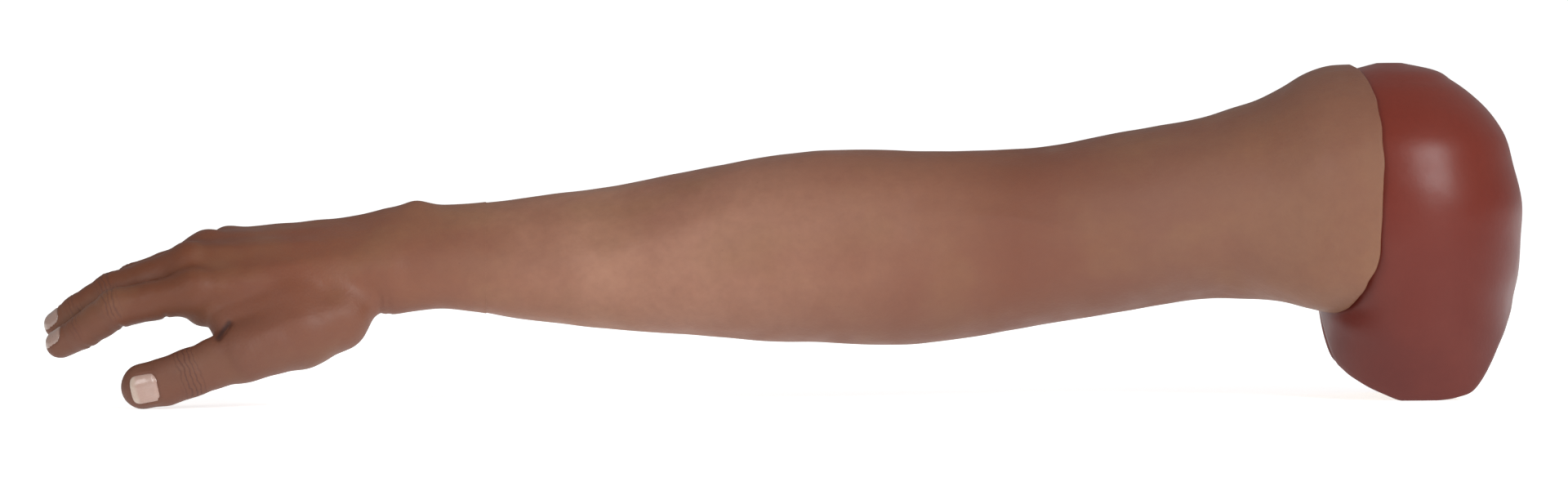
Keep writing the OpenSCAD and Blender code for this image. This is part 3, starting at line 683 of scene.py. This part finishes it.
# bands of the arm's skin: name, from x, to x, body towards the shoulder, body towards the hand,
# where the bend starts and ends
SHOULDER, ABDUCT = joint_at("shoulder_flexion"), joint_at("shoulder_abduction")
LINK_X = (SHOULDER[0] + ABDUCT[0]) / 2 + 1
BANDS = [
    ("sleeve_skin", LINK_X, 400, "shoulder_cap", "shoulder_link", 252, LINK_X + 3),
    ("upper_arm_skin", 135, LINK_X, "shoulder_link", "upper_arm", LINK_X - 3, 176),
    ("twist_skin", 105, 135, "upper_arm", "elbow_unit", 119, 105.5),
    ("elbow_and_forearm_skin", HAND_CUT, 105, "elbow_unit", "forearm", 102, 8)]
BAND_NODES = {"sleeve_skin": ("sleeve_edge",), "upper_arm_skin": ("upper_skin",),
              "elbow_and_forearm_skin": ("elbow_skin", "forearm_skin")}


def build_arm(skin):
    verts, faces, normals = arm_skin()
    middle = verts[faces].mean(1)[:, 0]
    for name, low, high, a, b, start, end in BANDS:
        piece = make_piece(name, verts, faces[(middle >= low) & (middle < high)], normals)
        finish_skin(piece, skin)
        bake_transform(piece)
        if name in BAND_NODES:
            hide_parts(*BAND_NODES[name])


def finish_skin(piece, skin):
    piece.data.materials.append(skin)


# ------------------------------------------------------------------ skin of the hand
BEHIND_KNUCKLE = 12.0


def hand_surface():
    verts, quads = field_mesh(hand_field, (-380, -62, -3), (HAND_CUT, 62, 106), 1.15)
    quads = quads[verts[quads].mean(1)[:, 0] < HAND_CUT]
    normals = vertex_normals(verts, quads)
    centre = verts.mean(0)
    if ((verts - centre) * normals).sum() < 0:
        quads, normals = quads[:, ::-1], -normals
    height = arm_detail(verts) * smooth_step(verts[:, 0], -225, -195) + hand_detail(verts, normals)
    for name in NAILS:
        sink, swell = nail_bed(verts, name)
        height += -0.75 * sink + 0.3 * swell
    return verts + normals * height[:, None], quads


def digit_of(p):
    """For each point: which digit's skin it belongs to, or -1 for the hand itself."""
    names = list(DIGITS)
    distance = np.stack([digit_field(p, DIGITS[n]) for n in names], 1)
    nearest = distance.argmin(1)
    along = np.stack([(p - DIGITS[n]["base"]) @ DIGITS[n]["along"] for n in names], 1)
    rows = np.arange(len(p))
    reach = along[rows, nearest]
    close = distance[rows, nearest]
    limit = np.where(np.array(names)[nearest] == "thumb", 3.2, 7.5)
    own = (reach > -BEHIND_KNUCKLE) & (close < limit + np.clip(reach, 0, 40))
    return np.where(own, nearest, -1), names


def build_hand(skin, nail, foam):
    verts, quads = hand_surface()
    # straighten the ring of vertices at the forearm cut
    edge = boundary(quads, len(verts)) & (verts[:, 0] > HAND_CUT - 3)
    verts[edge, 0] = HAND_CUT
    mid = arm_section(verts[edge][:, 0])[0]
    out = unit_rows(np.stack([0 * mid, verts[edge][:, 1], verts[edge][:, 2] - mid], 1))
    for _ in range(4):
        verts[edge] -= out * (arm_field(verts[edge]) - arm_detail(verts[edge]))[:, None]
    normals = cut_normals(verts, vertex_normals(verts, quads))
    folds = fold_shares(verts, normals)
    middle = verts[quads].mean(1)
    owner, names = digit_of(middle)
    hand = make_piece("hand_skin", verts, quads[owner == -1], normals, folds)
    finish_skin(hand, skin)
    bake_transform(hand)
    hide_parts("palm_skin")
    for i, name in enumerate(names):
        digit = DIGITS[name]
        along, base, mid = digit["along"], digit["base"], digit["mid"]
        mine = owner == i
        far = (middle - base) @ along > np.linalg.norm(mid - base) * 0.52
        root = make_piece(name + "_root_skin", verts, quads[mine & ~far], normals, folds)
        finish_skin(root, skin)
        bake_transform(root)
        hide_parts(name + "_base")
        tip = make_piece(name + "_tip_skin", verts, quads[mine & far], normals, folds)
        finish_skin(tip, skin)
        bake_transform(tip)
        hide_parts(name + "_end")
        plate = add_nail(name, lambda p, d=digit: digit_field(p, d, FLATNESS.get(name, 0.96)))
        plate.data.materials.append(nail)
        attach(plate, name + "_end")
        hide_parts(name + "_nail")
    lining = closed_piece("knuckle_lining", core_field, (-318, -58, 6), (-252, 50, 104))
    finish_skin(lining, skin)
    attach(lining, "hand")
    core = closed_piece("palm_foam_core", foam_core_field, (-300, -62, 2), (-190, 62, 106))
    core.data.materials.append(foam)
    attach(core, "hand")
    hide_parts("palm_foam")


def closed_piece(name, field, low, high):
    verts, quads = field_mesh(field, low, high, 2.4, coarse=3, rounds=1)
    normals = vertex_normals(verts, quads)
    if ((verts - verts.mean(0)) * normals).sum() < 0:
        quads = quads[:, ::-1]
    return make_piece(name, verts, quads)


# ------------------------------------------------------------------ shoulder cap
# height, nearest x, furthest x, half depth
CAP = [(-4, 272, 369, 54), (10, 272, 369, 59), (26, 272, 369, 63), (38, 272, 369, 64.5),
       (48, 271, 369.8, 65), (62, 265, 372.8, 66), (80, 254.5, 374.2, 69),
       (98, 250.5, 375, 69.3), (116, 250.5, 371, 66.6), (135, 253.5, 365, 59.8),
       (150, 262.5, 353, 46.5), (160, 277, 340, 32.8), (166, 290, 329, 19.5), (169.2, 302, 314, 7)]
# x, height of the rim
RIM = [(271.9, 44), (273, 37), (275.7, 26.5), (278.2, 19.8), (282.3, 15), (290.6, 9), (303, 3),
       (311, 0), (320, -0.5), (330, 0), (340.3, 1.5), (348.6, 5), (352.7, 10), (357.7, 18.8), (361, 25.8),
       (365.1, 34), (369.1, 45)]
RIM_MID, RIM_HALF = 320.5, 48.5
CAP_SQUARE = 0.92
CAP_TOP = 169.2
CAP_CORE = vec(312, 0, 60)


def rim_height(turn):
    c = np.cos(turn)
    return np.maximum(0, curve(RIM_MID + RIM_HALF * np.sign(c) * np.abs(c) ** CAP_SQUARE, RIM, 1))


def cap_surface(turn, z):
    near, far, depth = (curve(z, CAP, i) for i in (1, 2, 3))
    c, s = np.cos(turn), np.sin(turn)
    x = (near + far) / 2 + (far - near) / 2 * np.sign(c) * np.abs(c) ** CAP_SQUARE
    y = depth * np.sign(s) * np.abs(s) ** CAP_SQUARE
    hollow = 1 - 0.085 * np.exp(-((x - 281) / 15) ** 2 - ((z - 49) / 9) ** 2)
    crease = np.interp(x, [262, 273, 283, 300, 324, 345], [47, 43, 38, 31.5, 26.5, 24])
    under = np.maximum(0, crease - z)
    fade = 1 - smooth_step(x, 325, 350)
    fold = 1 - fade * (0.022 * smooth_step(under, 0, 7) + 0.0012 * under)
    return np.stack([x, y * hollow * fold, z], 1)


def cap_shell_mesh(name, inset, wall, lift, levels=72, around=192):
    """A hood with a rounded rim, from its outer and inner surfaces."""
    turn = np.arange(around) * 2 * math.pi / around
    low = rim_height(turn) + lift

    def ring(level, depth):
        z = low + (CAP_TOP - 0.15 - low) * level
        p = cap_surface(turn, z)
        v = p - CAP_CORE
        q = CAP_CORE + v * (1 - depth / np.linalg.norm(v, axis=1))[:, None]
        drop = (np.maximum(0, z - CAP_CORE[2]) / (CAP_TOP - CAP_CORE[2])) ** 2
        return np.stack([q[:, 0], q[:, 1], z - depth * drop], 1)

    spaced = np.sin(np.linspace(0, 1, levels) * math.pi / 2)
    rings = [ring(v, inset + wall) for v in spaced[::-1]]
    rings += [ring(0, inset + wall * share) for share in (0.85, 0.5, 0.15)]
    rings += [ring(v, inset) for v in spaced]
    for i, rise in ((levels - 1, 0.9), (levels, 0.25), (levels + 2, 0.25), (levels + 3, 0.9)):
        rings[i] = rings[i] + vec(0, 0, rise)
    verts = np.concatenate(rings)
    faces = loft_faces(len(rings), around)
    last, n = len(verts) - around, len(verts)
    tops = [verts[first:first + around].mean(0) + vec(0, 0, 0.12) for first in (0, last)]
    fans = [(k, n, (k + 1) % around) for k in range(around)]
    fans += [(last + k, last + (k + 1) % around, n + 1) for k in range(around)]
    return make_piece(name, np.concatenate([verts, tops]), faces, triangles=fans)


def build_cap(laminate, foam):
    shell = cap_shell_mesh("cap_laminate_shell", 0, 4, 0)
    shell.data.materials.append(laminate)
    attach(shell, "shoulder_cap")
    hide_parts("cap_shell")
    lining = cap_shell_mesh("cap_foam_lining", 4.2, 3, 3, 48, 144)
    lining.data.materials.append(foam)
    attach(lining, "shoulder_cap")
    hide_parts("cap_liner")


# ------------------------------------------------------------------ materials
class Nodes:
    """Short calls for building one material's nodes."""

    def __init__(self, name):
        self.material = bpy.data.materials.new(name)
        self.material.use_nodes = True
        self.tree = self.material.node_tree
        self.tree.nodes.clear()
        self.out = self.add("ShaderNodeOutputMaterial")
        self.shader = self.add("ShaderNodeBsdfPrincipled")
        self.link(self.shader.outputs[0], self.out.inputs["Surface"])

    def add(self, kind, **values):
        node = self.tree.nodes.new(kind)
        for key, value in values.items():
            setattr(node, key, value)
        return node

    def link(self, a, b):
        self.tree.links.new(a, b)

    def give(self, socket, value):
        """Link a node's output to a socket, or set the socket to a plain value."""
        if hasattr(value, "is_output"):
            self.link(value, socket)
        else:
            socket.default_value = value

    def rest(self):
        return self.add("ShaderNodeAttribute", attribute_name="rest").outputs["Vector"]

    def place(self):
        return self.add("ShaderNodeTexCoord").outputs["Object"]

    def stored(self, name):
        return self.add("ShaderNodeAttribute", attribute_name=name).outputs["Fac"]

    def noise(self, at, scale, detail=3, rough=0.5, stretch=None):
        if stretch:
            mapping = self.add("ShaderNodeMapping")
            mapping.inputs["Scale"].default_value = stretch
            self.link(at, mapping.inputs["Vector"])
            at = mapping.outputs[0]
        node = self.add("ShaderNodeTexNoise")
        node.inputs["Scale"].default_value = scale
        node.inputs["Detail"].default_value = detail
        node.inputs["Roughness"].default_value = rough
        self.link(at, node.inputs["Vector"])
        return node.outputs["Fac"]

    def cells(self, at, scale):
        node = self.add("ShaderNodeTexVoronoi")
        node.inputs["Scale"].default_value = scale
        self.link(at, node.inputs["Vector"])
        return node.outputs["Distance"]

    def ramp(self, value, stops):
        node = self.add("ShaderNodeValToRGB")
        line = node.color_ramp.elements
        line[0].position, line[0].color = stops[0][0], (*stops[0][1], 1)
        line[1].position, line[1].color = stops[-1][0], (*stops[-1][1], 1)
        for position, color in stops[1:-1]:
            line.new(position).color = (*color, 1)
        self.link(value, node.inputs["Fac"])
        return node.outputs["Color"]

    def spread(self, value, low, high, to_low=0.0, to_high=1.0):
        node = self.add("ShaderNodeMapRange")
        for key, number in (("From Min", low), ("From Max", high), ("To Min", to_low), ("To Max", to_high)):
            node.inputs[key].default_value = number
        self.link(value, node.inputs["Value"])
        return node.outputs["Result"]

    def mix(self, share, a, b):
        node = self.add("ShaderNodeMix", data_type="RGBA")
        self.link(share, node.inputs["Factor"])
        for socket, value in ((node.inputs[6], a), (node.inputs[7], b)):
            self.give(socket, (*value, 1) if isinstance(value, tuple) else value)
        return node.outputs[2]

    def sums(self, *terms):
        total = 0.0
        for value, factor in terms:
            node = self.add("ShaderNodeMath", operation="MULTIPLY_ADD")
            self.link(value, node.inputs[0])
            node.inputs[1].default_value = factor
            self.give(node.inputs[2], total)
            total = node.outputs[0]
        return total

    def times(self, value, factor):
        node = self.add("ShaderNodeMath", operation="MULTIPLY")
        self.link(value, node.inputs[0])
        self.give(node.inputs[1], factor)
        return node.outputs[0]

    def bump(self, height, strength, distance):
        node = self.add("ShaderNodeBump")
        node.inputs["Strength"].default_value = strength
        node.inputs["Distance"].default_value = distance
        self.link(height, node.inputs["Height"])
        self.link(node.outputs[0], self.shader.inputs["Normal"])

    def set(self, **values):
        for key, value in values.items():
            self.give(self.shader.inputs[key.replace("_", " ")], value)

    def axis(self, at, which):
        node = self.add("ShaderNodeSeparateXYZ")
        self.link(at, node.inputs[0])
        return node.outputs[which]


def skin_material():
    n = Nodes("silicone skin")
    at = n.rest()
    x, z = n.axis(at, 0), n.axis(at, 2)
    base = n.ramp(n.spread(x, -0.375, 0.31), [
        (0.0, (0.118, 0.036, 0.015)), (0.10, (0.116, 0.034, 0.013)), (0.19, (0.160, 0.052, 0.026)),
        (0.28, (0.194, 0.078, 0.042)), (0.40, (0.300, 0.152, 0.098)), (0.50, (0.250, 0.120, 0.078)),
        (0.62, (0.205, 0.091, 0.055)), (0.72, (0.156, 0.058, 0.032)), (0.82, (0.158, 0.069, 0.043)),
        (0.94, (0.184, 0.085, 0.049)), (1.0, (0.186, 0.086, 0.050))])
    blotch = n.spread(n.noise(at, 14, 4, 0.55), 0.38, 0.66)
    base = n.mix(n.times(blotch, 0.5), base, (0.142, 0.046, 0.028))
    ochre = n.spread(n.noise(at, 21, 3, 0.5, (1.0, 1.3, 1.2)), 0.50, 0.72)
    base = n.mix(n.times(ochre, 0.4), base, (0.200, 0.100, 0.050))
    # Painted shade: the skin darkens to a deeper red-brown along the top of the arm, where the surface
    # turns away from the light.
    top_painted_shade = n.spread(z, 0.100, 0.165)
    base = n.mix(n.times(top_painted_shade, 0.4), base, (0.135, 0.050, 0.032))
    # Painted light: towards the bottom the skin takes a grey-mauve cast, which is floor bounce light
    # painted into its colour.
    low_painted_bounce = n.spread(z, 0.062, 0.025)
    base = n.mix(n.times(low_painted_bounce, 0.42), base, (0.122, 0.058, 0.039))
    fine = n.spread(n.noise(at, 210, 3, 0.6), 0.35, 0.7, 0.0, 0.16)
    base = n.mix(fine, base, (0.120, 0.048, 0.034))
    specks = n.spread(n.cells(at, 130), 0.0, 0.075, 0.26, 0.0)
    base = n.mix(specks, base, (0.100, 0.034, 0.026))
    fold = n.stored("fold")
    share = n.stored("fold_share")
    crease = n.stored("crease")
    wave = n.add("ShaderNodeMath", operation="SINE")
    n.link(n.sums((fold, 2.5), (n.noise(at, 110, 2), 11.0), (n.noise(at, 420, 2), 4.0)), wave.inputs[0])
    line = n.times(n.spread(wave.outputs[0], 0.15, 1.0), share)
    # Painted shade: the skin is darkened along the fold lines at the finger joints and across the thumb.
    base = n.mix(n.times(line, 0.6), base, (0.070, 0.026, 0.020))
    # Painted shade: the deep fold between the thumb and the palm is painted near black.
    base = n.mix(n.times(crease, 0.92), base, (0.030, 0.010, 0.008))
    n.set(Base_Color=base, Roughness=n.spread(n.noise(at, 60, 3), 0.3, 0.7, 0.46, 0.62),
          Specular_IOR_Level=0.30, Subsurface_Weight=0.06, Subsurface_Scale=0.004,
          Subsurface_Radius=(1.0, 0.35, 0.2))
    height = n.sums((n.cells(at, 620), 0.5), (n.noise(at, 900, 2, 0.6), 0.35),
                    (n.noise(at, 240, 3, 0.6, (0.6, 1.4, 1.4)), 0.55), (line, -2.4))
    n.bump(height, 0.24, 0.0006)
    return n.material


def nail_material():
    n = Nodes("nail")
    run = n.stored("nail_run")
    at = n.rest()
    color = n.ramp(n.spread(run, -1, 1), [
        (0.0, (0.34, 0.21, 0.17)), (0.10, (0.37, 0.25, 0.21)), (0.75, (0.34, 0.22, 0.18)),
        (0.88, (0.42, 0.33, 0.27)), (1.0, (0.42, 0.33, 0.27))])
    color = n.mix(n.spread(n.axis(at, 0), -0.335, -0.35, 0, 0.6), color, (0.20, 0.135, 0.11))
    color = n.mix(n.spread(n.noise(at, 300, 2), 0.4, 0.7, 0, 0.25), color, (0.30, 0.17, 0.13))
    n.set(Base_Color=color, Roughness=n.spread(n.noise(at, 150, 2), 0.3, 0.7, 0.2, 0.34),
          Specular_IOR_Level=0.5, Coat_Weight=0.35, Coat_Roughness=0.12)
    n.bump(n.noise(at, 500, 2, 0.5, (0.15, 1, 1)), 0.12, 0.0003)
    return n.material


def laminate_material():
    n = Nodes("cap laminate")
    at = n.rest()
    z = n.axis(at, 2)
    # Painted shade: the laminate is darker towards its lower edge, where it turns under away from the
    # light, and lighter towards the top.
    base = n.ramp(n.spread(z, 0.0, 0.17), [
        (0.0, (0.078, 0.010, 0.007)), (0.22, (0.086, 0.009, 0.005)), (0.5, (0.102, 0.008, 0.002)),
        (1.0, (0.135, 0.019, 0.010))])
    cloud = n.spread(n.noise(at, 20, 4, 0.6), 0.35, 0.7, 0.0, 0.5)
    base = n.mix(cloud, base, (0.124, 0.019, 0.010))
    weave = n.spread(n.noise(at, 420, 2, 0.6), 0.4, 0.7, 0.0, 0.16)
    base = n.mix(weave, base, (0.078, 0.010, 0.005))
    n.set(Base_Color=base, Roughness=n.spread(n.noise(at, 45, 4, 0.6), 0.3, 0.7, 0.36, 0.44),
          Specular_IOR_Level=0.30, Coat_Weight=0.04, Coat_Roughness=0.3)
    n.bump(n.sums((n.noise(at, 60, 3), 1.0), (n.noise(at, 700, 2), 0.10)), 0.22, 0.0012)
    return n.material


def foam_material(own_rest=True):
    n = Nodes("foam" if own_rest else "frame foam")
    at = n.rest() if own_rest else n.place()
    base = n.mix(n.spread(n.noise(at, 40, 3), 0.3, 0.7), (0.70, 0.58, 0.42), (0.60, 0.48, 0.34))
    pores = n.spread(n.cells(at, 520), 0.0, 0.45, 0.45, 0.0)
    base = n.mix(pores, base, (0.34, 0.25, 0.17))
    n.set(Base_Color=base, Roughness=0.95, Specular_IOR_Level=0.2)
    n.bump(n.cells(at, 520), 0.5, 0.0008)
    return n.material


def metal_material(name, color, rough, stretch):
    n = Nodes(name)
    at = n.place()
    streak = n.noise(at, 300, 3, 0.6, stretch)
    base = n.mix(n.spread(n.noise(at, 30, 3), 0.3, 0.7, 0, 0.5), color, tuple(c * 0.78 for c in color))
    n.set(Base_Color=base, Metallic=1.0, Roughness=n.spread(streak, 0.3, 0.7, rough - 0.08, rough + 0.1))
    n.bump(streak, 0.12, 0.0002)
    return n.material


def housing_material():
    n = Nodes("black housing")
    at = n.place()
    base = n.mix(n.spread(n.noise(at, 50, 3), 0.3, 0.7), (0.035, 0.036, 0.04), (0.055, 0.055, 0.06))
    n.set(Base_Color=base, Roughness=n.spread(n.noise(at, 260, 3), 0.3, 0.7, 0.5, 0.7))
    n.bump(n.noise(at, 900, 2), 0.25, 0.0003)
    return n.material


# ------------------------------------------------------------------ frame parts
def dress_frame():
    """Materials for the CAD nodes that stay."""
    finish = {"foam": foam_material(False),
              "steel": metal_material("steel", (0.52, 0.53, 0.55), 0.34, (0.08, 1, 1)),
              "alloy": metal_material("alloy", (0.74, 0.75, 0.77), 0.38, (0.05, 1, 1)),
              "housing": housing_material(),
              "cap_laminate": LAMINATE, "silicone_skin": SKIN, "nail": NAIL}
    for part in record["subparts"]:
        obj = frame["nodes"][part["node"]]
        for i in range(len(obj.material_slots)):
            obj.material_slots[i].material = finish[part["material_slot"]]


# ------------------------------------------------------------------ camera, light and floor
VIEW_WIDTH = 0.795
DISTANCE = 8.0
ELEVATION = math.radians(2)
ROLL = math.radians(-0.44)
LOOK_AT = Vector((0.0008, 0.0, 0.0812))
SENSOR = 36
# name, place, what it points at, width, height, power
LIGHTS = [("key", (1.7, -2.1, 1.45), (0.03, 0, 0.08), 1.3, 0.9, 62),
          ("fill", (-1.5, -2.2, 1.2), (-0.1, 0, 0.08), 1.2, 1.0, 22)]
ROOM_LIGHT = 0.40
FLOOR_HALF = 25
FLOOR_GLOW = 0.68


def link_object(name, data):
    obj = bpy.data.objects.new(name, data)
    bpy.context.scene.collection.objects.link(obj)
    return obj


def camera():
    data = bpy.data.cameras.new("camera")
    data.sensor_width = SENSOR
    data.lens = SENSOR * DISTANCE / VIEW_WIDTH
    data.clip_end = 50
    obj = link_object("camera", data)
    back = Vector((0, -math.cos(ELEVATION), math.sin(ELEVATION)))
    obj.location = LOOK_AT + back * DISTANCE
    aim = (-back).to_track_quat("-Z", "Y").to_matrix()
    obj.rotation_euler = (aim @ Matrix.Rotation(ROLL, 3, "Z")).to_euler()
    bpy.context.scene.camera = obj


def studio():
    world = bpy.data.worlds.new("studio")
    bpy.context.scene.world = world
    world.use_nodes = True
    room = world.node_tree.nodes["Background"].inputs
    room[0].default_value = (1, 1, 1, 1)
    room[1].default_value = ROOM_LIGHT
    for name, place, target, width, height, power in LIGHTS:
        data = bpy.data.lights.new(name, "AREA")
        data.shape = "RECTANGLE"
        data.size, data.size_y = width, height
        data.energy = power
        obj = link_object(name, data)
        obj.location = place
        aim = Vector(target) - Vector(place)
        obj.rotation_euler = aim.to_track_quat("-Z", "Y").to_euler()
    bpy.context.scene.view_settings.view_transform = "Standard"
    n = Nodes("floor")
    at = n.place()
    n.set(Base_Color=n.mix(n.noise(at, 3, 2), (0.93, 0.93, 0.93), (0.95, 0.95, 0.95)), Roughness=0.8,
          Emission_Color=(1, 1, 1, 1), Emission_Strength=FLOOR_GLOW)
    mesh = bpy.data.meshes.new("floor")
    corners = [(x * FLOOR_HALF, y * FLOOR_HALF, 0) for x, y in ((-1, -1), (1, -1), (1, 1), (-1, 1))]
    mesh.from_pydata(corners, [], [(0, 1, 2, 3)])
    mesh.materials.append(n.material)
    link_object("floor", mesh)


camera()
studio()
SKIN, NAIL, LAMINATE = skin_material(), nail_material(), laminate_material()
FOAM = foam_material()
build_arm(SKIN)
build_hand(SKIN, NAIL, FOAM)
build_cap(LAMINATE, FOAM)
dress_frame()
